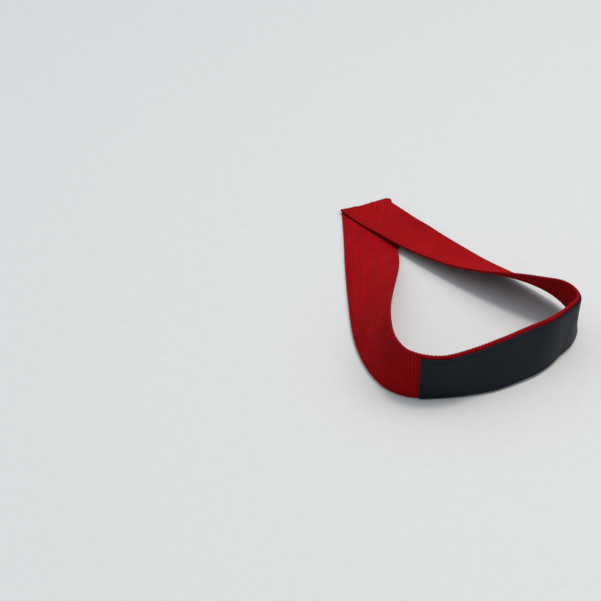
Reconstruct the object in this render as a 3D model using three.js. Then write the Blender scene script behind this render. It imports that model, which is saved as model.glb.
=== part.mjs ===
// A weightlifting strap: one strip of cotton webbing, turned into a loop and lapped to a sewn
// point, with a cloth patch on its outer face. It lies as it was put down, with the sewn point
// flat on the surface and the wide bend standing on its edge. Millimetres, +Z up, +X right and
// +Y back, with the patch in front.
import * as THREE from 'three';

// Driving sizes
const STRIP_LENGTH = 600;
const STRIP_WIDTH = 38;
const STRIP_THICKNESS = 2.6;
const STRIP_EDGE_RADIUS = 0.9;
const LAP_GAP = 0.3;
const UNDER_CUT_ANGLE = 28;
const TOP_CUT_ANGLE = 15;
const POINT_LEFT_RADIUS = 1.5;
const POINT_RIGHT_RADIUS = 6;
const PATCH_LENGTH = 135;
const PATCH_THICKNESS = 0.8;
const PATCH_EDGE_RADIUS = 0.3;
const PATCH_MARGIN = 1.5;
const PATCH_SHIFT = 0.6;
const PATCH_GAP = 0.3;

// Place of the patch's middle, as a share of the strip's length from its under end.
const PATCH_MIDDLE_SHARE = 0.534;

// Mesh fineness: greatest spacing of rows along each band, columns across a face, and the turns
// in degrees of the points round an edge
const STRIP_ROW_SPACING = 4.55;
const PATCH_ROW_SPACING = 3.9;
const FACE_COLUMNS = 8;
const EDGE_TURNS = [30, 60, 90];

// The mesh rows turn square to the strip within this many widths of its slanting ends.
const END_FADE_RATIO = 1.5;

// Share of the strip's length over which its direction is measured.
const DIRECTION_STEP = 0.001;

// The strip's course, from the end that lies under the sewn point, round the bend and back to
// the end on top of it. along, right and front are shares of STRIP_LENGTH, the last two from the
// middle of the sewn point. lean is the angle in degrees between the strip's width and the
// surface: 0 lies flat, 90 stands on edge. lift is the height of the low edge as a share of
// STRIP_WIDTH, and layer is how much of another layer of the strip lies beneath.
const COURSE = [
  { along: 0.0, right: 0.001, front: -0.023, lean: 0, lift: 0, layer: 0 },
  { along: 0.115, right: 0.003, front: 0.095, lean: 0, lift: 0, layer: 0 },
  { along: 0.18, right: 0.002, front: 0.161, lean: 18, lift: 0, layer: 0 },
  { along: 0.245, right: -0.001, front: 0.226, lean: 38, lift: 0.01, layer: 0 },
  { along: 0.305, right: -0.003, front: 0.286, lean: 54, lift: 0.02, layer: 0 },
  { along: 0.355, right: 0.002, front: 0.336, lean: 69, lift: 0.02, layer: 0 },
  { along: 0.385, right: 0.012, front: 0.366, lean: 82, lift: 0.01, layer: 0 },
  { along: 0.41, right: 0.03, front: 0.384, lean: 96, lift: 0, layer: 0 },
  { along: 0.44, right: 0.06, front: 0.388, lean: 103, lift: 0, layer: 0 },
  { along: 0.475, right: 0.094, front: 0.38, lean: 96, lift: 0.01, layer: 0 },
  { along: 0.505, right: 0.123, front: 0.367, lean: 89, lift: 0.01, layer: 0 },
  { along: 0.54, right: 0.154, front: 0.348, lean: 87, lift: 0.02, layer: 0 },
  { along: 0.575, right: 0.18, front: 0.328, lean: 91, lift: 0.02, layer: 0 },
  { along: 0.6, right: 0.196, front: 0.309, lean: 94, lift: 0.02, layer: 0 },
  { along: 0.62, right: 0.208, front: 0.2935, lean: 94, lift: 0.02, layer: 0 },
  { along: 0.645, right: 0.212, front: 0.272, lean: 83, lift: 0.03, layer: 0 },
  { along: 0.67, right: 0.2055, front: 0.248, lean: 62, lift: 0.07, layer: 0 },
  { along: 0.705, right: 0.184, front: 0.22, lean: 44, lift: 0.12, layer: 0 },
  { along: 0.765, right: 0.144, front: 0.179, lean: 27, lift: 0.06, layer: 0 },
  { along: 0.825, right: 0.104, front: 0.136, lean: 15, lift: 0, layer: 0.2 },
  { along: 0.885, right: 0.063, front: 0.088, lean: 6, lift: 0, layer: 0.4 },
  { along: 0.945, right: 0.027, front: 0.041, lean: 1, lift: 0, layer: 0.9 },
  { along: 1.0, right: -0.007, front: -0.005, lean: 0, lift: 0, layer: 1 },
];

// Share of the thickness that rounds the change of height where the strip passes upright.
const EDGE_ROUNDING = 0.15;

const RED_WEBBING = new THREE.MeshStandardMaterial({ color: 0x8c0a12, roughness: 0.9, metalness: 0 });
const DARK_CLOTH = new THREE.MeshStandardMaterial({ color: 0x14181f, roughness: 0.65, metalness: 0 });

// Smooth curve through a column of the course, with no overshoot between rows.
function columnCurve(column) {
  const steps = COURSE.slice(1).map((row, i) => row.along - COURSE[i].along);
  const slopes = COURSE.slice(1).map((row, i) => (row[column] - COURSE[i][column]) / steps[i]);
  const tangents = COURSE.map((row, i) => {
    if (i === 0) return slopes[0];
    if (i === COURSE.length - 1) return slopes[i - 1];
    const before = slopes[i - 1];
    const after = slopes[i];
    if (before * after <= 0) return 0;
    const weightBefore = 2 * steps[i] + steps[i - 1];
    const weightAfter = steps[i] + 2 * steps[i - 1];
    return (weightBefore + weightAfter) / (weightBefore / before + weightAfter / after);
  });
  return (along) => {
    let i = 0;
    while (i < steps.length - 1 && along > COURSE[i + 1].along) i += 1;
    const t = (along - COURSE[i].along) / steps[i];
    const rise = COURSE[i + 1][column] - COURSE[i][column];
    const start = tangents[i] * steps[i];
    const end = tangents[i + 1] * steps[i];
    return COURSE[i][column] + t * (start + t * (3 * rise - 2 * start - end + t * (start + end - 2 * rise)));
  };
}

// Curve through the course's places in plan, with even bending at each row.
function planCurve(column) {
  const count = COURSE.length;
  const bends = new Array(count).fill(0);
  const factors = new Array(count).fill(0);
  for (let i = 1; i < count - 1; i += 1) {
    const before = COURSE[i].along - COURSE[i - 1].along;
    const after = COURSE[i + 1].along - COURSE[i].along;
    const turn = (COURSE[i + 1][column] - COURSE[i][column]) / after
      - (COURSE[i][column] - COURSE[i - 1][column]) / before;
    const pivot = 2 * (before + after) - before * factors[i - 1];
    factors[i] = after / pivot;
    bends[i] = (6 * turn - before * bends[i - 1]) / pivot;
  }
  for (let i = count - 2; i > 0; i -= 1) {
    bends[i] -= factors[i] * bends[i + 1];
  }
  return (along) => {
    let i = 0;
    while (i < count - 2 && along > COURSE[i + 1].along) i += 1;
    const step = COURSE[i + 1].along - COURSE[i].along;
    const b = (along - COURSE[i].along) / step;
    const a = 1 - b;
    const bow = ((a ** 3 - a) * bends[i] + (b ** 3 - b) * bends[i + 1]) * step ** 2 / 6;
    return a * COURSE[i][column] + b * COURSE[i + 1][column] + bow;
  };
}

const rightAt = planCurve('right');
const frontAt = planCurve('front');
const leanAt = columnCurve('lean');
const liftAt = columnCurve('lift');
const layerAt = columnCurve('layer');

// Middle of the strip at a share of its length.
function middleAt(along) {
  const lean = THREE.MathUtils.degToRad(leanAt(along));
  const slope = Math.hypot(Math.cos(lean), EDGE_ROUNDING) / Math.hypot(1, EDGE_ROUNDING);
  const halfHeight = (STRIP_WIDTH * Math.sin(lean) + STRIP_THICKNESS * slope) / 2;
  const height = liftAt(along) * STRIP_WIDTH + layerAt(along) * (STRIP_THICKNESS + LAP_GAP) + halfHeight;
  return new THREE.Vector3(rightAt(along) * STRIP_LENGTH, -frontAt(along) * STRIP_LENGTH, height);
}

// Directions at a share of the strip's length: across runs from the outer edge to the inner edge
// of the loop, and out leaves the face that carries the patch.
function directionsAt(along) {
  const from = middleAt(Math.max(along - DIRECTION_STEP, 0));
  const to = middleAt(Math.min(along + DIRECTION_STEP, 1));
  const forward = to.sub(from).normalize();
  const inward = new THREE.Vector3(-forward.y, forward.x, 0).normalize();
  const upward = new THREE.Vector3().crossVectors(forward, inward);
  const lean = THREE.MathUtils.degToRad(leanAt(along));
  const across = inward.clone().multiplyScalar(Math.cos(lean)).addScaledVector(upward, Math.sin(lean));
  const out = upward.clone().multiplyScalar(Math.cos(lean)).addScaledVector(inward, -Math.sin(lean));
  return { across, out };
}

// Point of the strip's own space: run along it in mm, across and out from its middle in mm.
function stripPoint(run, across, out) {
  const along = run / STRIP_LENGTH;
  const directions = directionsAt(along);
  return middleAt(along).addScaledVector(directions.across, across).addScaledVector(directions.out, out);
}

// Section of a band: faces split into columns, edges rounded. Runs round the band once.
function bandSection(width, thickness, edgeRadius) {
  const radius = Math.min(edgeRadius, thickness / 2);
  const straight = width / 2 - radius;
  const flat = thickness / 2 - radius;
  const arc = EDGE_TURNS.map((turn) => {
    const angle = THREE.MathUtils.degToRad(turn);
    return { across: straight + radius * Math.sin(angle), out: flat + radius * Math.cos(angle) };
  });
  const backArc = arc.map(({ across, out }) => ({ across, out: -out })).reverse();
  const edge = flat > 0 ? [...arc, ...backArc] : [...arc, ...backArc.slice(1)];
  const section = [];
  for (const side of [1, -1]) {
    for (let i = 0; i <= FACE_COLUMNS; i += 1) {
      section.push({ across: side * (straight - 2 * straight * i / FACE_COLUMNS), out: side * thickness / 2 });
    }
    section.push(...edge.map(({ across, out }) => ({ across: -side * across, out: side * out })));
  }
  return section;
}

// Closed mesh of a section swept along a length of the strip. place gives the point of a section
// corner at a share of that length.
function sweptBand(section, length, rowSpacing, place) {
  const spans = Math.ceil(length / rowSpacing);
  const positions = [];
  const indices = [];
  const round = section.length;
  for (let row = 0; row <= spans; row += 1) {
    for (const corner of section) {
      positions.push(...place(row / spans, corner).toArray());
    }
  }
  for (let row = 0; row < spans; row += 1) {
    for (let i = 0; i < round; i += 1) {
      const a = row * round + i;
      const b = row * round + (i + 1) % round;
      indices.push(a, b, a + round, b, b + round, a + round);
    }
  }
  const outline = section.map((corner) => new THREE.Vector2(corner.across, corner.out));
  const last = spans * round;
  for (const [a, b, c] of THREE.ShapeUtils.triangulateShape(outline, [])) {
    indices.push(a, c, b, last + a, last + b, last + c);
  }
  const geometry = new THREE.BufferGeometry();
  geometry.setAttribute('position', new THREE.Float32BufferAttribute(positions, 3));
  geometry.setIndex(indices);
  geometry.computeVertexNormals();
  return geometry;
}

// How far the trimmed end of the strip lies inside its longest edge, for a place across it.
function endTrim(across, cutAngle, innerRadius, outerRadius) {
  const half = STRIP_WIDTH / 2;
  const slant = (half - across) * Math.tan(THREE.MathUtils.degToRad(cutAngle));
  const radius = Math.min(across > 0 ? innerRadius : outerRadius, half);
  const past = Math.min(Math.max(Math.abs(across) - (half - radius), 0), radius);
  return slant + radius - Math.sqrt(radius ** 2 - past ** 2);
}

// The webbing: both ends are trimmed along the slanting line of the sewn point.
function webbingGeometry() {
  const section = bandSection(STRIP_WIDTH, STRIP_THICKNESS, STRIP_EDGE_RADIUS);
  const fade = END_FADE_RATIO * STRIP_WIDTH;
  return sweptBand(section, STRIP_LENGTH, STRIP_ROW_SPACING, (share, corner) => {
    const run = share * STRIP_LENGTH;
    const left = STRIP_LENGTH - run;
    const underTrim = endTrim(corner.across, UNDER_CUT_ANGLE, POINT_RIGHT_RADIUS, POINT_LEFT_RADIUS);
    const topTrim = endTrim(corner.across, TOP_CUT_ANGLE, POINT_LEFT_RADIUS, POINT_RIGHT_RADIUS);
    const shift = underTrim * Math.max(1 - run / fade, 0) - topTrim * Math.max(1 - left / fade, 0);
    return stripPoint(run + shift, corner.across, corner.out);
  });
}

// The patch: follows the outer face round the bend, clear of both edges and a little nearer to
// the outer one.
function patchGeometry() {
  const section = bandSection(STRIP_WIDTH - 2 * PATCH_MARGIN, PATCH_THICKNESS, PATCH_EDGE_RADIUS);
  const start = PATCH_MIDDLE_SHARE * STRIP_LENGTH - PATCH_LENGTH / 2;
  const seat = (STRIP_THICKNESS + PATCH_THICKNESS) / 2 + PATCH_GAP;
  return sweptBand(section, PATCH_LENGTH, PATCH_ROW_SPACING, (share, corner) => (
    stripPoint(start + share * PATCH_LENGTH, corner.across - PATCH_SHIFT, seat + corner.out)
  ));
}

function namedMesh(name, geometry, material) {
  const mesh = new THREE.Mesh(geometry, material);
  mesh.name = name;
  return mesh;
}

const strap = new THREE.Group();
strap.add(namedMesh('webbing_loop', webbingGeometry(), RED_WEBBING));
strap.add(namedMesh('label_patch', patchGeometry(), DARK_CLOTH));

// The origin is under the middle of the whole strap, on the surface that it lies on.
const box = new THREE.Box3().setFromObject(strap);
strap.position.set(-(box.min.x + box.max.x) / 2, -(box.min.y + box.max.y) / 2, -box.min.z);

export default strap;
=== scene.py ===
import math

import bpy
import numpy as np
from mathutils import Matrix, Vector


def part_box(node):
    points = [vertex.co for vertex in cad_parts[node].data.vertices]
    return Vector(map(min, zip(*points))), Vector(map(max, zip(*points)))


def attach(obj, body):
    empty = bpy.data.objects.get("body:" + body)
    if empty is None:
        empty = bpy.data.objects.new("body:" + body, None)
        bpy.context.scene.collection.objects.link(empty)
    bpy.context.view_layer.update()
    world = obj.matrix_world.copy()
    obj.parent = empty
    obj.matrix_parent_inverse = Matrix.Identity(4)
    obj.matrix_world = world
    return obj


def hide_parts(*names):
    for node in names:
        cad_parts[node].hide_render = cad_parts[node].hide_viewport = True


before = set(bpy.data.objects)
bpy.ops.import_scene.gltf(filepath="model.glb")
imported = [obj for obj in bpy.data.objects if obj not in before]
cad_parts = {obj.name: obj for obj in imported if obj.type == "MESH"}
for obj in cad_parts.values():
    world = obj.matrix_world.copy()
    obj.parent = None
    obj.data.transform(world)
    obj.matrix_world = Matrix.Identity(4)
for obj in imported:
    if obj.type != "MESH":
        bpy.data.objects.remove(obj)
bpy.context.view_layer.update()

# The strip, as in the CAD model
STRIP_LENGTH = 0.600
STRIP_WIDTH = 0.038
STRIP_THICKNESS = 0.0026
LAP_GAP = 0.0003
UNDER_CUT_ANGLE = 28
TOP_CUT_ANGLE = 15
POINT_LEFT_RADIUS = 0.0015
POINT_RIGHT_RADIUS = 0.006
PATCH_LENGTH = 0.135
PATCH_THICKNESS = 0.0008
PATCH_MARGIN = 0.0015
PATCH_SHIFT = 0.0006
PATCH_GAP = 0.0003
PATCH_MIDDLE_SHARE = 0.534
DIRECTION_STEP = 0.001

# The strip's course, as in the CAD model: along, right and front are shares of the strip's
# length, lean is in degrees, lift is a share of its width and layer counts layers beneath.
COLUMNS = ("along", "right", "front", "lean", "lift", "layer")
COURSE = np.array([
    (0.0, 0.001, -0.023, 0, 0, 0),
    (0.115, 0.003, 0.095, 0, 0, 0),
    (0.18, 0.002, 0.161, 18, 0, 0),
    (0.245, -0.001, 0.226, 38, 0.01, 0),
    (0.305, -0.003, 0.286, 54, 0.02, 0),
    (0.355, 0.002, 0.336, 69, 0.02, 0),
    (0.385, 0.012, 0.366, 82, 0.01, 0),
    (0.41, 0.03, 0.384, 96, 0, 0),
    (0.44, 0.06, 0.388, 103, 0, 0),
    (0.475, 0.094, 0.38, 96, 0.01, 0),
    (0.505, 0.123, 0.367, 89, 0.01, 0),
    (0.54, 0.154, 0.348, 87, 0.02, 0),
    (0.575, 0.18, 0.328, 91, 0.02, 0),
    (0.6, 0.196, 0.309, 94, 0.02, 0),
    (0.62, 0.208, 0.2935, 94, 0.02, 0),
    (0.645, 0.212, 0.272, 83, 0.03, 0),
    (0.67, 0.2055, 0.248, 62, 0.07, 0),
    (0.705, 0.184, 0.22, 44, 0.12, 0),
    (0.765, 0.144, 0.179, 27, 0.06, 0),
    (0.825, 0.104, 0.136, 15, 0, 0.2),
    (0.885, 0.063, 0.088, 6, 0, 0.4),
    (0.945, 0.027, 0.041, 1, 0, 0.9),
    (1.0, -0.007, -0.005, 0, 0, 1),
])
STATION_COUNT = 6001
STATIONS = np.linspace(0, 1, STATION_COUNT)

# Share of the thickness that rounds the change of height where the strip passes upright.
EDGE_ROUNDING = 0.15

# Stations along and across the strip that its box is measured from.
BOX_ROWS = 2001
BOX_COLUMNS = 41

# Warp yarns run along the strip. They swing over and under the picks, and a yarn's width falls to
# the dive's share where it dives. Each wanders to the side from its own part of a turn. Here and
# below, rates are radians to the metre.
WARP_COUNT = 22
WARP_SPAN = 0.0353
WARP_HALF_WIDTH = 0.00086
WARP_HALF_HEIGHT = 0.00062
WARP_SWING = 0.0006
WARP_SWING_SPREAD = 0.06
WARP_DIVE_WIDTH = 0.93
WARP_WANDER = 0.00005
WARP_WANDER_RATE = 37
WARP_WANDER_TURN = 6.28
WARP_STEPS_PER_PICK = 4

# Weft picks run across it and turn in at its edges. Each lies level for a reach from the edge,
# gains its swing over the next reach, and is thicker by the swelling's share where it turns.
PICK_SPACING = 0.0021
WEFT_HALF_WIDTH = 0.00104
WEFT_HALF_HEIGHT = 0.00062
WEFT_SWING = 0.00058
WEFT_SWING_SPREAD = 0.05
WEFT_DIVE_WIDTH = 0.95
WEFT_WANDER = 0.00006
WEFT_STEPS_PER_WARP = 3
WEFT_TURN = 0.0007
WEFT_TURN_STEPS = np.array([0.02, 0.3, 0.7, 1.0])
WEFT_LEVEL_REACH = 0.00021
WEFT_RISE_REACH = 0.00084
WEFT_TURN_SWELLING = 0.25
SHORTEST_PICK_SHARE = 0.15
PICK_LIMIT_SAMPLES = 400

# Power that flattens a yarn's wave on top of its crossings
WAVE_POWER = 0.6

# Stations that the strip's slanting ends push together stay this share of their spacing apart.
WARP_PUSHED_SHARE = 0.02
WEFT_PUSHED_SHARE = 0.05

# Edge yarns that the picks turn round
SELVEDGE_INSET = 0.0006
SELVEDGE_HALF_WIDTH = 0.00052
SELVEDGE_HALF_HEIGHT = 0.00084
SELVEDGE_LUMPS = 0.22
SELVEDGE_STATIONS = 1300

# The cloth's closed middle
CORE_THICKNESS = 0.0017
CORE_INSET = 0.0012
CORE_ROWS = 400
CORE_COLUMNS = 12

# Corners of a yarn's section and of a thicker cord's, and the least share of a section's area that
# is left at a round end
YARN_SIDES = 6
CORD_SIDES = 10
LEAST_END_SHARE = 0.02

# Painted shade: where a yarn dives into the cloth its colour is darkened to this share, for the
# shade that falls in the pits between the yarns. Heights are shares of the cloth's half thickness.
DIVE_LOW = 0.25
DIVE_HIGH = 0.9
DIVE_PAINTED_SHADE = 0.82

# Sealed ends
END_BEAD_HALF_WIDTH = 0.00096
END_BEAD_HALF_HEIGHT = 0.0012
END_BEAD_STATIONS = 140
END_BEAD_WAVES = 0.08
END_BEAD_WAVE_RATE = 2900
END_BEAD_LUMPS = 0.04

# A stitch. Its places are shares of its length, and its rises over the cloth and its sizes there
# are shares of the thread's radius.
STITCH_LENGTH = 0.0026
STITCH_GAP = 0.0005
STITCH_PITCH = STITCH_LENGTH + STITCH_GAP
STITCH_PLACES = np.array([0, 0.12, 0.3, 0.5, 0.7, 0.88, 1])
STITCH_RISES = np.array([-1.2, -0.1, 0.35, 0.45, 0.35, -0.1, -1.2])
STITCH_SIZES = np.array([0.5, 0.85, 1, 1, 1, 0.85, 0.5])
STITCH_WIDENING = 1.15

# The sewn point: rows of stitches, held inside the layer beneath, and the press of the thread,
# which reaches this far from each end and fades out over the last part. The layer beneath is
# looked up in the strip's first share, at every so many stations.
THREAD_RADIUS = 0.00034
THREAD_SINK = 0.00022
ROW_SPACING = 0.0028
ROW_COUNT = 9
SEWN_MARGIN = 0.0022
SEWN_SIDE_MARGIN = 0.001
SEWN_END_MARGIN = 0.0005
UNDER_LAYER_SHARE = 0.16
UNDER_LAYER_STRIDE = 20
PRESS_THINNING = 0.25
PRESS_REACH = 0.046
PRESS_FADE = 0.024

# The patch: its grid, its stitch line and the relief of its face
PATCH_CELL = 0.0006
PATCH_CROWDING = 0.03
PATCH_FLOAT = 0.0001
PATCH_STITCH_INSET = 0.0019
PATCH_THREAD_RADIUS = 0.00019
SEAM_DEPTH = 0.00022
SEAM_REACH = 0.0005
PUCKER_DEPTH = 0.00003
ROLL_DEPTH = 0.00035
ROLL_REACH = 0.00025
HEM_HEIGHT = 0.00008
HEM_INSET = 0.0009
HEM_REACH = 0.0006
SWELL_HEIGHT = 0.00006
SWELL_RATE_ALONG = 90
SWELL_RATE_ACROSS = 110

# Linear colours: the dark, middle and light tone of each yarn, and the dark and light tone of the
# patch and of the floor
COTTON_TONES = ((0.17, 0.001, 0.002), (0.30, 0.002, 0.004), (0.40, 0.005, 0.008))
# The ground is darker than the cotton: painted shade for the pits between the yarns.
GROUND_TONES = ((0.14, 0.001, 0.002), (0.21, 0.001, 0.003), (0.28, 0.003, 0.005))
THREAD_TONES = ((0.28, 0.002, 0.004), (0.42, 0.004, 0.007), (0.50, 0.008, 0.012))
SEAL_TONES = ((0.14, 0.001, 0.002), (0.22, 0.001, 0.003), (0.29, 0.003, 0.005))
DARK_THREAD_TONES = ((0.006, 0.009, 0.013), (0.012, 0.017, 0.024), (0.024, 0.032, 0.042))
PATCH_TONES = ((0.0016, 0.0032, 0.0062), (0.0036, 0.0066, 0.0115))
FLOOR_TONES = ((0.49, 0.49, 0.49), (0.53, 0.53, 0.53))

# How much of a yarn's tone comes from the yarn, from clouds and specks of dye and from its plies
TONE_BASE = -0.06
TONE_BY_YARN = 0.05
TONE_BY_CLOUD = 0.5
TONE_BY_SPECK = 0.35
TONE_BY_PLY = 0.18

# The same for the patch's tone, from clouds of dye and from its weave
PATCH_TONE_BASE = 0.2
PATCH_TONE_BY_CLOUD = 0.6
PATCH_TONE_BY_WEAVE = 0.12

# How much loose fibres change the roughness, and their share in a surface's relief
FIBRE_ROUGHNESS = 0.2
FIBRE_RELIEF = 0.6
PATCH_FIBRE_RELIEF = 0.5

# Length of a webbing yarn over which its twist repeats
TWIST_PITCH = 0.0026

# Noise cells to the metre
FIBRE_SCALE = 9000
CLOUD_SCALE = 55
SPECK_SCALE = 900
PATCH_FIBRE_SCALE = 4000
PATCH_CLOUD_SCALE = 60
FLOOR_SCALE = 140

# Pitches of the patch's threads along and across
SATIN_PITCHES = (("X", 0.00042), ("Y", 0.00030))

# The photograph's view. The course's zero lies this far right of and behind the view's middle.
VIEW_ELEVATION = math.radians(34)
VIEW_DISTANCE = 1.017
ZERO_IN_VIEW = Vector((0.048, 0.1225, 0.0))
PIXELS_PER_METRE = 1488.4
FRAME_PIXELS = 601
SENSOR = 36.0
FARTHEST_SEEN = 50

# Half the floor's width
FLOOR_REACH = 6.0

rng = np.random.default_rng(7)


# Course of the strip

def course(name):
    return COURSE[:, COLUMNS.index(name)]


def span_of(along):
    """The row of the course before each share, the span's length and the share within it."""
    steps = np.diff(course("along"))
    row = np.clip(np.searchsorted(course("along"), along, side="left") - 1, 0, len(steps) - 1)
    return row, steps[row], (along - course("along")[row]) / steps[row]


def plan_curve(name, along):
    """Natural cubic spline through a column of the course."""
    steps = np.diff(course("along"))
    turns = np.diff(np.diff(course(name)) / steps)
    pivots = np.diag(2 * (steps[:-1] + steps[1:]))
    pivots += np.diag(steps[1:-1], 1) + np.diag(steps[1:-1], -1)
    bends = np.concatenate([[0], np.linalg.solve(pivots, 6 * turns), [0]])
    row, step, b = span_of(along)
    a = 1 - b
    bow = ((a**3 - a) * bends[row] + (b**3 - b) * bends[row + 1]) * step**2 / 6
    return a * course(name)[row] + b * course(name)[row + 1] + bow


def column_curve(name, along):
    """Smooth curve through a column of the course, with no overshoot between rows."""
    steps = np.diff(course("along"))
    slopes = np.diff(course(name)) / steps
    before, after = slopes[:-1], slopes[1:]
    weight_before = 2 * steps[1:] + steps[:-1]
    weight_after = steps[1:] + 2 * steps[:-1]
    rising = before * after > 0
    shares = weight_before / np.where(rising, before, 1) + weight_after / np.where(rising, after, 1)
    inner = np.where(rising, (weight_before + weight_after) / shares, 0)
    tangents = np.concatenate([[slopes[0]], inner, [slopes[-1]]])
    row, step, t = span_of(along)
    rise = course(name)[row + 1] - course(name)[row]
    start, end = tangents[row] * step, tangents[row + 1] * step
    return course(name)[row] + t * (start + t * (3 * rise - 2 * start - end + t * (start + end - 2 * rise)))


def unit(vectors):
    return vectors / np.linalg.norm(vectors, axis=-1, keepdims=True)


def middle_at(along):
    """Middle of the strip at shares of its length."""
    lean = np.radians(column_curve("lean", along))
    slope = np.hypot(np.cos(lean), EDGE_ROUNDING) / np.hypot(1, EDGE_ROUNDING)
    half_height = (STRIP_WIDTH * np.sin(lean) + STRIP_THICKNESS * slope) / 2
    layers = column_curve("layer", along) * (STRIP_THICKNESS + LAP_GAP)
    height = column_curve("lift", along) * STRIP_WIDTH + layers + half_height
    right = plan_curve("right", along) * STRIP_LENGTH
    front = plan_curve("front", along) * STRIP_LENGTH
    return np.stack([right, -front, height], -1)


def directions_at(along):
    """across points to the loop's inner edge, and out leaves the face that carries the patch."""
    before, after = np.maximum(along - DIRECTION_STEP, 0), np.minimum(along + DIRECTION_STEP, 1)
    forward = unit(middle_at(after) - middle_at(before))
    inward = unit(np.stack([-forward[:, 1], forward[:, 0], 0 * forward[:, 0]], -1))
    upward = np.cross(forward, inward)
    lean = np.radians(column_curve("lean", along))[:, None]
    across = inward * np.cos(lean) + upward * np.sin(lean)
    out = upward * np.cos(lean) - inward * np.sin(lean)
    return across, out


MIDDLES = middle_at(STATIONS)
ACROSS, OUT = directions_at(STATIONS)


def along_table(table, run):
    return np.stack([np.interp(run / STRIP_LENGTH, STATIONS, table[:, i]) for i in range(3)], -1)


def in_course(points):
    """Places of points given in the strip's own space: run, across and out."""
    run, across, out = points[..., 0], points[..., 1:2], points[..., 2:3]
    return along_table(MIDDLES, run) + along_table(ACROSS, run) * across + along_table(OUT, run) * out


def end_trim(across, cut_angle, inner_radius, outer_radius):
    """How far the trimmed end lies inside the strip's longest edge, for a place across it."""
    half = STRIP_WIDTH / 2
    radius = np.where(across > 0, inner_radius, outer_radius)
    past = np.clip(np.abs(across) - (half - radius), 0, radius)
    return (half - across) * math.tan(math.radians(cut_angle)) + radius - np.sqrt(radius**2 - past**2)


def under_end(across):
    return end_trim(across, UNDER_CUT_ANGLE, POINT_RIGHT_RADIUS, POINT_LEFT_RADIUS)


def top_end(across):
    return STRIP_LENGTH - end_trim(across, TOP_CUT_ANGLE, POINT_LEFT_RADIUS, POINT_RIGHT_RADIUS)


def strip_place():
    """Where the strip's course lies in the frame: its box fills the CAD node's box."""
    half = STRIP_WIDTH / 2
    share, across = np.meshgrid(np.linspace(0, 1, BOX_ROWS), np.linspace(-1, 1, BOX_COLUMNS) * half)
    run = under_end(across) + share * (top_end(across) - under_end(across))
    faces = [
        in_course(np.stack([run, across, side * STRIP_THICKNESS / 2 + 0 * run], -1))
        for side in (-1, 1)
    ]
    corners = np.concatenate([face.reshape(-1, 3) for face in faces])
    low, high = (np.array(corner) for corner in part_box("webbing_loop"))
    place = (low + high - corners.min(0) - corners.max(0)) / 2
    place[2] = 0
    return place


PLACE = strip_place()


def pressed(points):
    """Points of the strip's own space with the sewn point pressed: thinner and closer together."""
    run, across, out = points[..., 0], points[..., 1], points[..., 2]
    under = np.clip((PRESS_REACH - (run - under_end(across))) / PRESS_FADE, 0, 1)
    top = np.clip((PRESS_REACH - (top_end(across) - run)) / PRESS_FADE, 0, 1)
    under, top = (share * share * (3 - 2 * share) for share in (under, top))
    thinned = STRIP_THICKNESS * PRESS_THINNING
    drop = under * thinned / 2 + top * (LAP_GAP + 1.5 * thinned)
    return np.stack([run, across, out * (1 - PRESS_THINNING * (under + top)) - drop], -1)


def in_frame(points):
    return PLACE + in_course(pressed(points))


# Mesh helpers

def mesh_piece(name, points, faces, corners_uv, material, **attributes):
    """A smooth mesh. faces is a list of index arrays, and corners_uv their UVs in the same order.
    attributes hold one value for each point."""
    mesh = bpy.data.meshes.new(name)
    sizes = np.concatenate([np.full(len(f), f.shape[1]) for f in faces])
    loops = np.concatenate([f.ravel() for f in faces])
    starts = np.concatenate([[0], np.cumsum(sizes)[:-1]])
    mesh.vertices.add(len(points))
    mesh.vertices.foreach_set("co", points.astype(np.float32).ravel())
    mesh.loops.add(len(loops))
    mesh.loops.foreach_set("vertex_index", loops.astype(np.int32))
    mesh.polygons.add(len(sizes))
    mesh.polygons.foreach_set("loop_start", starts.astype(np.int32))
    mesh.update(calc_edges=True)
    mesh.validate()
    layer = mesh.uv_layers.new(name="Weave")
    layer.uv.foreach_set("vector", np.concatenate(corners_uv).astype(np.float32).ravel())
    for title, values in attributes.items():
        attribute = mesh.attributes.new(title, "FLOAT", "POINT")
        attribute.data.foreach_set("value", values.astype(np.float32))
    mesh.shade_smooth()
    mesh.materials.append(material)
    piece = bpy.data.objects.new(name, mesh)
    bpy.context.scene.collection.objects.link(piece)
    return piece


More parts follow.
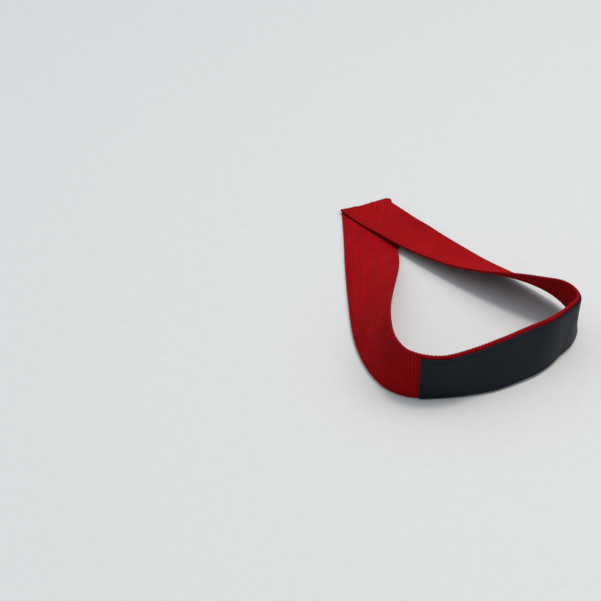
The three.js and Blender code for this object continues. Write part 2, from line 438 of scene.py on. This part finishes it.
def tubes_piece(name, path, side, half_width, half_height, sides, material):
    """Closed tubes of elliptical section. path holds the stations of each tube in the strip's own
    space, and side is the direction of the section's width there."""
    count, stations = path.shape[:2]
    ahead = unit(np.gradient(path, axis=1))
    up = unit(np.cross(ahead, side))
    beside = np.cross(up, ahead)
    turn = 2 * np.pi * np.arange(sides) / sides
    wide = beside[:, :, None] * (half_width[:, :, None] * np.cos(turn))[..., None]
    high = up[:, :, None] * (half_height[:, :, None] * np.sin(turn))[..., None]
    local = path[:, :, None] + wide + high
    points = in_frame(local)
    index = np.arange(count * stations * sides).reshape(count, stations, sides)
    here, there = index[:, :-1], index[:, 1:]
    quads = np.stack([here, np.roll(here, -1, 2), np.roll(there, -1, 2), there], -1).reshape(-1, 4)
    length = np.cumsum(np.linalg.norm(np.diff(path, axis=1), axis=2), axis=1)
    length = np.concatenate([np.zeros((count, 1)), length], 1) + rng.uniform(0, 1, (count, 1))
    u0, u1 = (np.broadcast_to(part[:, :, None], here.shape) for part in (length[:, :-1], length[:, 1:]))
    v0 = np.broadcast_to(np.arange(sides) / sides, here.shape)
    v1 = v0 + 1 / sides
    uv = np.stack([np.stack(pair, -1) for pair in ((u0, v0), (u0, v1), (u1, v1), (u1, v0))], -2)
    caps = np.concatenate([index[:, 0, ::-1], index[:, -1]])
    cap_uv = np.zeros((caps.size, 2))
    shade = np.repeat(rng.normal(0, 1, count), stations * sides)
    # How deep each point lies in the cloth; the yarn materials darken low points there as painted shade.
    height = np.clip(np.abs(local[..., 2]) / (STRIP_THICKNESS / 2), 0, 1).ravel()
    uvs = [uv.reshape(-1, 2), cap_uv]
    return mesh_piece(name, points.reshape(-1, 3), [quads, caps], uvs, material, shade=shade, height=height)


def slab_piece(name, flat, height, material):
    """Closed sheet over a grid of run and across. height gives its upper (1) or lower (-1) face."""
    rows, columns = flat.shape[:2]
    faces, points = [], []
    for side in (1, -1):
        out = np.broadcast_to(height(side), (rows, columns))
        points.append(in_frame(np.concatenate([flat, out[..., None]], -1)).reshape(-1, 3))
        index = np.arange(rows * columns).reshape(rows, columns) + len(faces) * rows * columns
        quads = np.stack([index[:-1, :-1], index[1:, :-1], index[1:, 1:], index[:-1, 1:]], -1)
        faces.append(quads.reshape(-1, 4)[:, ::side])
    ring = np.arange(rows * columns).reshape(rows, columns)
    rim = np.concatenate([ring[0, :-1], ring[:-1, -1], ring[-1, :0:-1], ring[:0:-1, 0]])
    after = np.roll(rim, -1)
    below = rows * columns
    faces.append(np.stack([rim, after, after + below, rim + below], -1))
    both = np.concatenate([flat.reshape(-1, 2)] * 2)
    uvs = [both[f.ravel()] for f in faces]
    return mesh_piece(name, np.concatenate(points), faces, uvs, material)


def rounded_ends(distance, reach):
    """Share of a tube's full width at a distance from its end, which is round over the reach."""
    near = np.clip(distance / reach, 0, 1)
    return np.sqrt(np.clip(1 - (1 - near) ** 2, LEAST_END_SHARE, 1))


# Materials

def node_material(name):
    material = bpy.data.materials.new(name)
    material.use_nodes = True
    nodes, links = material.node_tree.nodes, material.node_tree.links
    return material, nodes, links, nodes["Principled BSDF"]


def maths(nodes, links, operation, first, second=None, third=None):
    node = nodes.new("ShaderNodeMath")
    node.operation = operation
    for socket, value in zip(node.inputs, (first, second, third)):
        if isinstance(value, (int, float)):
            socket.default_value = value
        elif value is not None:
            links.new(value, socket)
    return node.outputs[0]


def noise(nodes, links, scale, detail, vector):
    node = nodes.new("ShaderNodeTexNoise")
    node.inputs["Scale"].default_value = scale
    node.inputs["Detail"].default_value = detail
    links.new(vector, node.inputs["Vector"])
    return node.outputs["Fac"]


def attribute_value(nodes, name):
    node = nodes.new("ShaderNodeAttribute")
    node.attribute_name = name
    return node.outputs["Fac"]


def weave_axes(nodes, links):
    """Metres along a piece, and metres across a sheet or turns round a yarn, from its UV map."""
    uv = nodes.new("ShaderNodeUVMap")
    uv.uv_map = "Weave"
    parts = nodes.new("ShaderNodeSeparateXYZ")
    links.new(uv.outputs["UV"], parts.inputs[0])
    return parts.outputs


def colour_ramp(nodes, links, tone, stops):
    """The colour of a tone. stops are pairs of a tone and its linear colour."""
    ramp = nodes.new("ShaderNodeValToRGB")
    elements = ramp.color_ramp.elements
    for element, (position, colour) in zip(elements, (stops[0], stops[-1])):
        element.position = position
        element.color = (*colour, 1)
    for position, colour in stops[1:-1]:
        elements.new(position).color = (*colour, 1)
    links.new(tone, ramp.inputs[0])
    return ramp.outputs["Color"]


def add_bump(nodes, links, shader, height, strength, distance):
    bump = nodes.new("ShaderNodeBump")
    bump.inputs["Strength"].default_value = strength
    bump.inputs["Distance"].default_value = distance
    links.new(height, bump.inputs["Height"])
    links.new(bump.outputs["Normal"], shader.inputs["Normal"])


def add_roughness(nodes, links, shader, fibre, roughness):
    """Roughness that loose fibres raise and lower by the same amount."""
    lowest = roughness - FIBRE_ROUGHNESS / 2
    varied = maths(nodes, links, "MULTIPLY_ADD", fibre, FIBRE_ROUGHNESS, lowest)
    links.new(varied, shader.inputs["Roughness"])


def add_sheen(shader, weight, roughness, tint):
    shader.inputs["Sheen Weight"].default_value = weight
    shader.inputs["Sheen Roughness"].default_value = roughness
    shader.inputs["Sheen Tint"].default_value = (*tint, 1)


def painted_dive_shade(nodes, links, colour):
    """A yarn's colour with painted shade, darker where the yarn lies deep in the cloth."""
    reach = nodes.new("ShaderNodeMapRange")
    reach.interpolation_type = "SMOOTHSTEP"
    reach.inputs["From Min"].default_value = DIVE_LOW
    reach.inputs["From Max"].default_value = DIVE_HIGH
    reach.inputs["To Min"].default_value = DIVE_PAINTED_SHADE
    links.new(attribute_value(nodes, "height"), reach.inputs["Value"])
    shaded = nodes.new("ShaderNodeVectorMath")
    shaded.operation = "SCALE"
    links.new(colour, shaded.inputs["Vector"])
    links.new(reach.outputs["Result"], shaded.inputs["Scale"])
    return shaded.outputs["Vector"]


def yarn_material(name, tones, roughness, sheen, twist_pitch, plies):
    """Cotton yarn: plied twist, loose fibres, a tone that varies by yarn and place, and painted shade in
    dives.
    """
    material, nodes, links, shader = node_material(name)
    dark, middle, light = tones
    place = nodes.new("ShaderNodeTexCoord").outputs["Object"]
    axes = weave_axes(nodes, links)
    turns = maths(nodes, links, "MULTIPLY", axes["X"], 1 / twist_pitch)
    around = maths(nodes, links, "MULTIPLY", axes["Y"], plies)
    phase = maths(nodes, links, "MULTIPLY", maths(nodes, links, "ADD", turns, around), math.pi)
    ply = maths(nodes, links, "ABSOLUTE", maths(nodes, links, "SINE", phase))
    fibre = noise(nodes, links, FIBRE_SCALE, 3, place)
    cloud = noise(nodes, links, CLOUD_SCALE, 4, place)
    speck = noise(nodes, links, SPECK_SCALE, 2, place)
    tone = maths(nodes, links, "MULTIPLY_ADD", attribute_value(nodes, "shade"), TONE_BY_YARN, TONE_BASE)
    tone = maths(nodes, links, "MULTIPLY_ADD", cloud, TONE_BY_CLOUD, tone)
    tone = maths(nodes, links, "MULTIPLY_ADD", speck, TONE_BY_SPECK, tone)
    tone = maths(nodes, links, "MULTIPLY_ADD", ply, TONE_BY_PLY, tone)
    colour = colour_ramp(nodes, links, tone, ((0.15, dark), (0.5, middle), (0.85, light)))
    links.new(painted_dive_shade(nodes, links, colour), shader.inputs["Base Color"])
    add_roughness(nodes, links, shader, fibre, roughness)
    relief = maths(nodes, links, "MULTIPLY_ADD", fibre, FIBRE_RELIEF, ply)
    add_bump(nodes, links, shader, relief, strength=0.55, distance=0.00012)
    add_sheen(shader, weight=sheen, roughness=0.55, tint=light)
    shader.inputs["Specular IOR Level"].default_value = 0.06
    return material


def patch_material():
    """Close satin weave: fine crossing threads, a cloudy dye and a faint sheen."""
    material, nodes, links, shader = node_material("dark_satin")
    axes = weave_axes(nodes, links)
    threads = []
    for axis, pitch in SATIN_PITCHES:
        phase = maths(nodes, links, "MULTIPLY", axes[axis], 2 * math.pi / pitch)
        threads.append(maths(nodes, links, "SINE", phase))
    weave = maths(nodes, links, "MULTIPLY", *threads)
    place = nodes.new("ShaderNodeTexCoord").outputs["Object"]
    fibre = noise(nodes, links, PATCH_FIBRE_SCALE, 3, place)
    cloud = noise(nodes, links, PATCH_CLOUD_SCALE, 3, place)
    tone = maths(nodes, links, "MULTIPLY_ADD", cloud, PATCH_TONE_BY_CLOUD, PATCH_TONE_BASE)
    tone = maths(nodes, links, "MULTIPLY_ADD", weave, PATCH_TONE_BY_WEAVE, tone)
    dark, light = PATCH_TONES
    colour = colour_ramp(nodes, links, tone, ((0.2, dark), (0.8, light)))
    links.new(colour, shader.inputs["Base Color"])
    add_roughness(nodes, links, shader, fibre, roughness=0.52)
    relief = maths(nodes, links, "MULTIPLY_ADD", fibre, PATCH_FIBRE_RELIEF, weave)
    add_bump(nodes, links, shader, relief, strength=0.35, distance=0.00006)
    add_sheen(shader, weight=0.03, roughness=0.4, tint=(0.45, 0.6, 0.75))
    shader.inputs["Specular IOR Level"].default_value = 0.12
    return material


def floor_material():
    """Plain matt floor with a very faint cloudiness."""
    material, nodes, links, shader = node_material("pale_floor")
    place = nodes.new("ShaderNodeTexCoord").outputs["Object"]
    dark, light = FLOOR_TONES
    tone = noise(nodes, links, FLOOR_SCALE, 2, place)
    links.new(colour_ramp(nodes, links, tone, ((0, dark), (1, light))), shader.inputs["Base Color"])
    shader.inputs["Roughness"].default_value = 0.9
    shader.inputs["Specular IOR Level"].default_value = 0.1
    return material


# Webbing

def warp_places():
    return np.linspace(-WARP_SPAN / 2, WARP_SPAN / 2, WARP_COUNT)


def wave(phase):
    """Height of a yarn that lies flat over and under its crossings and dives steeply between."""
    swing = np.cos(np.pi * phase)
    return np.sign(swing) * np.abs(swing) ** WAVE_POWER


def warp_piece(name, first, material):
    """Every second warp yarn: it swings over one pick and under the next."""
    numbers = np.arange(first, WARP_COUNT, 2)
    places = warp_places()[numbers]
    steps = int(STRIP_LENGTH / PICK_SPACING) * WARP_STEPS_PER_PICK
    share = np.linspace(0, 1, steps + 1)
    start = under_end(places)[:, None] + WARP_HALF_HEIGHT
    end = top_end(places)[:, None] - WARP_HALF_HEIGHT
    # Stations are spread evenly, apart from those that the slanting ends push in.
    run = np.clip(share * STRIP_LENGTH, start, end)
    order = np.arange(steps + 1)
    squeeze = WARP_PUSHED_SHARE * PICK_SPACING / WARP_STEPS_PER_PICK
    run = np.maximum(run, start + order * squeeze)
    run = np.minimum(run, end - (steps - order) * squeeze)
    height = wave(run / PICK_SPACING) * np.where(numbers % 2, -1, 1)[:, None]
    swing = WARP_SWING * (1 + WARP_SWING_SPREAD * rng.normal(size=(len(numbers), 1)))
    turn = rng.uniform(0, WARP_WANDER_TURN, (len(numbers), 1))
    wander = WARP_WANDER * np.sin(run * WARP_WANDER_RATE + turn)
    path = np.stack([run, places[:, None] + wander, swing * height], -1)
    round_off = rounded_ends(np.minimum(run - start, end - run), WARP_HALF_HEIGHT * 2)
    width = WARP_HALF_WIDTH * (WARP_DIVE_WIDTH + (1 - WARP_DIVE_WIDTH) * height**2) * round_off
    thick = WARP_HALF_HEIGHT * round_off
    return tubes_piece(name, path, np.array([0, 1.0, 0]), width, thick, YARN_SIDES, material)


def pick_limits(run):
    """The across range that the strip has at each pick, between its slanting ends."""
    across = np.linspace(-STRIP_WIDTH / 2, STRIP_WIDTH / 2, PICK_LIMIT_SAMPLES)
    inside = (under_end(across) < run[:, None]) & (top_end(across) > run[:, None])
    low = np.where(inside, across, np.inf).min(1)
    high = np.where(inside, across, -np.inf).max(1)
    return low, high, inside.mean(1) > SHORTEST_PICK_SHARE


def weft_piece(name, first, material):
    """Every second pick: it swings the other way and turns in at the strip's edges."""
    picks = np.arange(first, int(STRIP_LENGTH / PICK_SPACING) + 1, 2)
    run = picks * PICK_SPACING
    low, high, kept = pick_limits(run)
    picks, run, low, high = picks[kept], run[kept], low[kept], high[kept]
    spacing = WARP_SPAN / (WARP_COUNT - 1)
    inner = np.arange((WARP_COUNT - 1) * WEFT_STEPS_PER_WARP + 1) / WEFT_STEPS_PER_WARP
    middle = (inner - (WARP_COUNT - 1) / 2) * spacing
    tips = STRIP_WIDTH / 2 - WEFT_TURN * WEFT_TURN_STEPS
    across = np.concatenate([-tips, middle, tips[::-1]])
    across = across * np.ones((len(picks), 1))
    order = np.arange(across.shape[1])
    squeeze = WEFT_PUSHED_SHARE * spacing / WEFT_STEPS_PER_WARP
    across = np.maximum(across, low[:, None] + order * squeeze)
    across = np.minimum(across, high[:, None] - (len(order) - 1 - order) * squeeze)
    phase = across / spacing + (WARP_COUNT - 1) / 2
    height = -wave(phase) * np.where(picks % 2, -1, 1)[:, None]
    reach = STRIP_WIDTH / 2 - np.abs(across)
    turn_in = np.clip((reach - WEFT_LEVEL_REACH) / WEFT_RISE_REACH, 0, 1)
    swing = WEFT_SWING * (1 + WEFT_SWING_SPREAD * rng.normal(size=(len(picks), 1)))
    wander = WEFT_WANDER * rng.normal(size=(len(picks), 1))
    path = np.stack([run[:, None] + wander + 0 * across, across, swing * height * turn_in], -1)
    round_off = rounded_ends(np.minimum(across - low[:, None], high[:, None] - across), WEFT_TURN)
    width = WEFT_HALF_WIDTH * (WEFT_DIVE_WIDTH + (1 - WEFT_DIVE_WIDTH) * height**2) * round_off
    thick = WEFT_HALF_HEIGHT * round_off * (1 + WEFT_TURN_SWELLING * (1 - turn_in))
    return tubes_piece(name, path, np.array([-1.0, 0, 0]), width, thick, YARN_SIDES, material)


def selvedge_piece(material):
    """The edge yarns that the picks turn round."""
    places = np.array([-1, 1]) * (STRIP_WIDTH / 2 - SELVEDGE_INSET)
    start, end = under_end(places)[:, None], top_end(places)[:, None]
    run = start + (end - start) * np.linspace(0, 1, SELVEDGE_STATIONS)
    path = np.stack([run, places[:, None] + 0 * run, 0 * run], -1)
    round_off = rounded_ends(np.minimum(run - start, end - run), SELVEDGE_HALF_HEIGHT)
    lumps = round_off * (1 + SELVEDGE_LUMPS * np.cos(2 * np.pi * run / PICK_SPACING))
    width, thick = SELVEDGE_HALF_WIDTH * lumps, SELVEDGE_HALF_HEIGHT * lumps
    return tubes_piece("selvedge_yarns", path, np.array([0, 1.0, 0]), width, thick, CORD_SIDES, material)


def core_piece(material):
    """The cloth's closed middle, seen between the yarns, coloured darker as painted shade in the pits."""
    across = np.linspace(-1, 1, CORE_COLUMNS) * (STRIP_WIDTH / 2 - CORE_INSET)
    start, end = under_end(across) + CORE_INSET, top_end(across) - CORE_INSET
    run = start + (end - start) * np.linspace(0, 1, CORE_ROWS)[:, None]
    flat = np.stack([run, np.broadcast_to(across, run.shape)], -1)
    return slab_piece("webbing_core", flat, lambda side: side * CORE_THICKNESS / 2, material)


# Sewing

def sewn_face(run, across):
    """The surface that the sewn point's stitches are pulled down to, a little into the cloth."""
    return STRIP_THICKNESS / 2 - THREAD_SINK + 0 * run


def thread_piece(name, starts, ends, surface, radius, material):
    """Stitches: each thread rises out of the cloth, lies on it and goes down again."""
    share = STITCH_PLACES[None, :, None]
    path = starts[:, None] * (1 - share) + ends[:, None] * share
    out = surface(path[..., 0], path[..., 1]) + STITCH_RISES * radius
    path = np.concatenate([path, out[..., None]], -1)
    travel = unit(ends - starts)
    side = np.stack([-travel[:, 1], travel[:, 0], 0 * travel[:, 0]], -1)[:, None]
    size = radius * STITCH_SIZES * np.ones((len(starts), 1))
    return tubes_piece(name, path, side, size * STITCH_WIDENING, size, YARN_SIDES, material)


def end_bead(name, run_of, sign, material):
    """The cut end, sealed with melted thread into a rounded edge that follows both corners."""
    across = np.sin(np.linspace(-np.pi / 2, np.pi / 2, END_BEAD_STATIONS)) * STRIP_WIDTH / 2
    outline = np.stack([run_of(across), across, 0 * across], -1)
    ahead = unit(np.gradient(outline, axis=0))
    inward = sign * np.stack([ahead[:, 1], -ahead[:, 0], 0 * across], -1)
    path = (outline + inward * END_BEAD_HALF_WIDTH)[None]
    steps = np.linalg.norm(np.diff(outline, axis=0), axis=1)
    length = np.concatenate([[0], np.cumsum(steps)])
    waves = END_BEAD_WAVES * np.sin(length * END_BEAD_WAVE_RATE)
    lumps = 1 + waves + END_BEAD_LUMPS * rng.normal(size=len(across))
    round_off = rounded_ends(np.minimum(length, length[-1] - length), END_BEAD_HALF_HEIGHT)
    size = (lumps * round_off)[None]
    width, thick = END_BEAD_HALF_WIDTH * size, END_BEAD_HALF_HEIGHT * size
    return tubes_piece(name, path, inward, width, thick, CORD_SIDES, material)


def under_layer_place(points):
    """How far across the under layer, and how far inside its end, points in the frame lie."""
    near = np.arange(STATION_COUNT)[STATIONS < UNDER_LAYER_SHARE][::UNDER_LAYER_STRIDE]
    gap = points[:, None, :2] - (MIDDLES + PLACE)[near][None, :, :2]
    nearest = near[np.argmin((gap**2).sum(-1), 1)]
    offset = points[:, :2] - (MIDDLES + PLACE)[nearest, :2]
    across = (offset * ACROSS[nearest, :2]).sum(-1)
    run = STATIONS[nearest] * STRIP_LENGTH
    return across, run - under_end(np.clip(across, -STRIP_WIDTH / 2, STRIP_WIDTH / 2))


def sewn_rows():
    """Stitches of the sewn point, in rows parallel to the top layer's cut, as run and across."""
    starts, ends = [], []
    limit = STRIP_WIDTH / 2 - SEWN_MARGIN
    for row in range(ROW_COUNT):
        inset = SEWN_MARGIN + row * ROW_SPACING
        first = -limit + (row % 2) * STITCH_PITCH / 2
        edges = np.arange(first, limit - STITCH_LENGTH, STITCH_PITCH)
        far_edges = edges + STITCH_LENGTH
        starts.append(np.stack([top_end(edges) - inset, edges], -1))
        ends.append(np.stack([top_end(far_edges) - inset, far_edges], -1))
    starts, ends = np.concatenate(starts), np.concatenate(ends)
    held = np.ones(len(starts), bool)
    for points in (starts, ends):
        placed = in_frame(np.concatenate([points, np.zeros((len(points), 1))], -1))
        across, inside = under_layer_place(placed)
        held &= (np.abs(across) < STRIP_WIDTH / 2 - SEWN_SIDE_MARGIN) & (inside > SEWN_END_MARGIN)
    return starts[held], ends[held]


# Patch

def patch_run_limits():
    start = PATCH_MIDDLE_SHARE * STRIP_LENGTH - PATCH_LENGTH / 2
    return start, start + PATCH_LENGTH


def patch_edge_distance(run, across):
    start, end = patch_run_limits()
    half = STRIP_WIDTH / 2 - PATCH_MARGIN
    return np.minimum(np.minimum(run - start, end - run), half - np.abs(across + PATCH_SHIFT))


def patch_surface(run, across):
    """Height of the patch's face: a pressed seam line with puckers, and a hem that rolls down."""
    seat = STRIP_THICKNESS / 2 + PATCH_GAP + PATCH_THICKNESS
    edge = patch_edge_distance(run, across)
    seam = np.exp(-((edge - PATCH_STITCH_INSET) / SEAM_REACH) ** 2)
    pucker = np.cos(2 * np.pi * (run + across) / STITCH_PITCH)
    roll = np.exp(-np.maximum(edge, 0) / ROLL_REACH)
    swell = np.sin(run * SWELL_RATE_ALONG) * np.sin(across * SWELL_RATE_ACROSS + 1)
    hem = np.exp(-((edge - HEM_INSET) / HEM_REACH) ** 2)
    sunk = SEAM_DEPTH * seam + PUCKER_DEPTH * seam * pucker + ROLL_DEPTH * roll
    return seat - sunk + SWELL_HEIGHT * swell + HEM_HEIGHT * hem


def closer_at_ends(count):
    """Shares from 0 to 1 that lie a little closer together at both ends."""
    share = np.linspace(0, 1, count)
    return share - PATCH_CROWDING * np.sin(2 * np.pi * share)


def patch_piece(material):
    start, end = patch_run_limits()
    half = STRIP_WIDTH / 2 - PATCH_MARGIN
    run = start + (end - start) * closer_at_ends(int(PATCH_LENGTH / PATCH_CELL))
    across = half * (2 * closer_at_ends(int(2 * half / PATCH_CELL)) - 1) - PATCH_SHIFT
    flat = np.stack(np.meshgrid(run, across, indexing="ij"), -1)
    upper = patch_surface(flat[..., 0], flat[..., 1])
    lower = STRIP_THICKNESS / 2 + PATCH_FLOAT
    return slab_piece("label_cloth", flat, lambda side: upper if side > 0 else lower, material)


def patch_stitches():
    """Lock stitches in a line inside the patch's edges, as run and across."""
    start, end = patch_run_limits()
    half = STRIP_WIDTH / 2 - PATCH_MARGIN - PATCH_STITCH_INSET
    left, right = start + PATCH_STITCH_INSET, end - PATCH_STITCH_INSET
    low, high = -half - PATCH_SHIFT, half - PATCH_SHIFT
    corners = [(left, low), (right, low), (right, high), (left, high)]
    starts, ends = [], []
    for a, b in zip(corners, corners[1:] + corners[:1]):
        a, b = np.array(a), np.array(b)
        length = np.linalg.norm(b - a)
        count = round(length / STITCH_PITCH)
        step = (b - a) / count
        gap = STITCH_GAP / length * (b - a) / 2
        for i in range(count):
            starts.append(a + i * step + gap)
            ends.append(a + (i + 1) * step - gap)
    return np.array(starts), np.array(ends)


# Stage

def floor_piece():
    corners = [(x * FLOOR_REACH, y * FLOOR_REACH, 0) for x, y in ((-1, -1), (1, -1), (1, 1), (-1, 1))]
    mesh = bpy.data.meshes.new("floor")
    mesh.from_pydata(corners, [], [(0, 1, 2, 3)])
    mesh.materials.append(floor_material())
    piece = bpy.data.objects.new("floor", mesh)
    bpy.context.scene.collection.objects.link(piece)
    return piece


def area_light(name, azimuth, elevation, distance, size, power, colour):
    """Lamp that faces the strap's middle. azimuth turns from +Y towards +X."""
    light = bpy.data.lights.new(name, "AREA")
    light.shape = "DISK"
    light.size = size
    light.energy = power
    light.color = colour
    lamp = bpy.data.objects.new(name, light)
    a, e = math.radians(azimuth), math.radians(elevation)
    away = Vector((math.cos(e) * math.sin(a), math.cos(e) * math.cos(a), math.sin(e)))
    lamp.location = away * distance
    lamp.rotation_euler = away.to_track_quat("Z", "Y").to_euler()
    bpy.context.scene.collection.objects.link(lamp)


def world_light(colour, horizon, zenith):
    """Light from all round that grows from the horizon's strength to the zenith's."""
    world = bpy.data.worlds.new("studio")
    world.use_nodes = True
    nodes, links = world.node_tree.nodes, world.node_tree.links
    background = nodes["Background"]
    background.inputs["Color"].default_value = (*colour, 1)
    parts = nodes.new("ShaderNodeSeparateXYZ")
    links.new(nodes.new("ShaderNodeTexCoord").outputs["Generated"], parts.inputs[0])
    rise = nodes.new("ShaderNodeMapRange")
    rise.inputs["To Min"].default_value = horizon
    rise.inputs["To Max"].default_value = zenith
    links.new(parts.outputs["Z"], rise.inputs["Value"])
    links.new(rise.outputs["Result"], background.inputs["Strength"])
    bpy.context.scene.world = world


def photo_camera():
    data = bpy.data.cameras.new("camera")
    data.sensor_width = SENSOR
    data.lens = PIXELS_PER_METRE * VIEW_DISTANCE / FRAME_PIXELS * SENSOR
    data.clip_end = FARTHEST_SEEN
    camera = bpy.data.objects.new("camera", data)
    away = Vector((0, -math.cos(VIEW_ELEVATION), math.sin(VIEW_ELEVATION)))
    camera.location = Vector(PLACE) - ZERO_IN_VIEW + away * VIEW_DISTANCE
    camera.rotation_euler = away.to_track_quat("Z", "Y").to_euler()
    bpy.context.scene.collection.objects.link(camera)
    bpy.context.scene.camera = camera


# Build

photo_camera()
red_yarn = yarn_material(
    "red_cotton", COTTON_TONES, roughness=0.85, sheen=0.1, twist_pitch=TWIST_PITCH, plies=3,
)
red_ground = yarn_material(
    "red_ground", GROUND_TONES, roughness=0.95, sheen=0.1, twist_pitch=TWIST_PITCH, plies=3,
)
red_thread = yarn_material(
    "red_thread", THREAD_TONES, roughness=0.7, sheen=0.1, twist_pitch=0.0012, plies=3,
)
red_seal = yarn_material(
    "red_seal", SEAL_TONES, roughness=0.7, sheen=0.1, twist_pitch=0.002, plies=2,
)
dark_satin = patch_material()
dark_thread = yarn_material(
    "dark_thread", DARK_THREAD_TONES, roughness=0.55, sheen=0.2, twist_pitch=0.0009, plies=2,
)

core = core_piece(red_ground)
yarns = [
    warp_piece("warp_yarns_a", 0, red_yarn),
    warp_piece("warp_yarns_b", 1, red_yarn),
    weft_piece("weft_yarns_a", 0, red_yarn),
    weft_piece("weft_yarns_b", 1, red_yarn),
    selvedge_piece(red_seal),
]
sewing = [
    end_bead("sealed_end_under", under_end, 1, red_seal),
    end_bead("sealed_end_top", top_end, -1, red_seal),
    thread_piece("sewn_point_stitches", *sewn_rows(), sewn_face, THREAD_RADIUS, red_thread),
]
patch = patch_piece(dark_satin)
patch_thread = thread_piece(
    "label_stitches", *patch_stitches(), patch_surface, PATCH_THREAD_RADIUS, dark_thread,
)

for piece in [core, *yarns, *sewing]:
    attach(piece, "root")
    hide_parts("webbing_loop")
for piece in (patch, patch_thread):
    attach(piece, "root")
    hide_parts("label_patch")

floor = floor_piece()
area_light(
    "key", azimuth=100, elevation=80, distance=2.2, size=0.5, power=20.5, colour=(1.0, 0.88, 0.8),
)
area_light(
    "soft", azimuth=85, elevation=66, distance=2.6, size=2.2, power=23.5, colour=(1.0, 0.87, 0.79),
)
world_light(colour=(0.79, 0.91, 0.98), horizon=0.2, zenith=1.36)
bpy.context.scene.view_settings.view_transform = "Standard"
